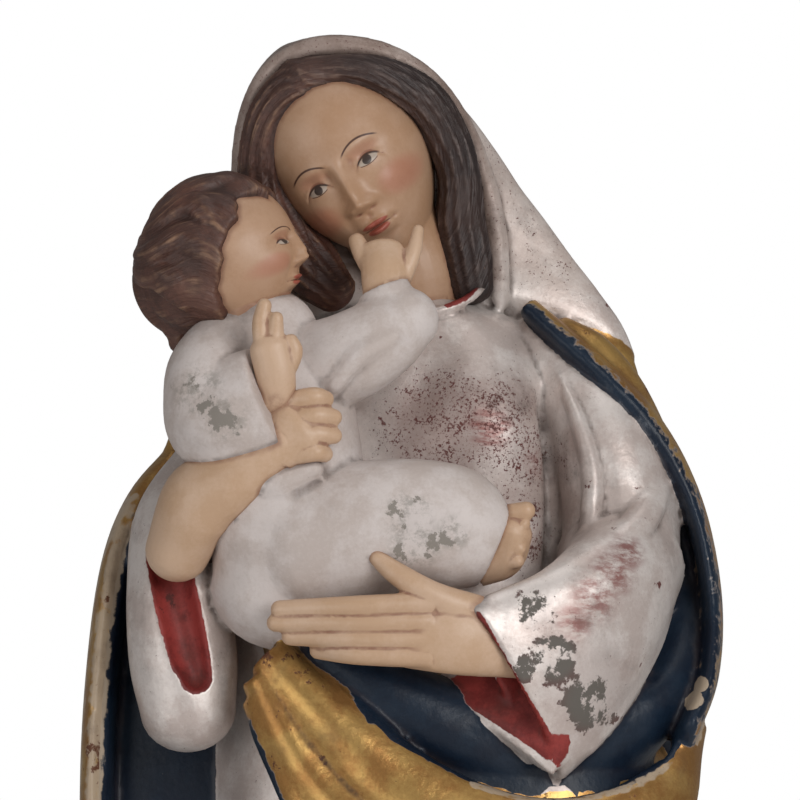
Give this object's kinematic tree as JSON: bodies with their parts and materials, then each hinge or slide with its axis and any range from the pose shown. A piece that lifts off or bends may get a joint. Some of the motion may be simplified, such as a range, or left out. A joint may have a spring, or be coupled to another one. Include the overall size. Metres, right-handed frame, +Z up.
{
  "type": "carved statue",
  "caption": "Carved and painted wooden statue of a veiled mother holding a child on her arm, standing on a low oval base carved from the same block.",
  "frame": {"origin": "centre of the underside of the base", "axes": "+Z up along the standing figure, -Y the way she faces, +X to the viewer's right"},
  "size_m": [0.1287, 0.096, 0.3],
  "materials": {
    "painted_wood": "silver leaf, gold, dark blue, red and flesh paint over carved wood, satin, worn on the high places"
  },
  "bodies": {
    "root": {"mother_and_child": "painted_wood"}
  },
  "joints": []
}
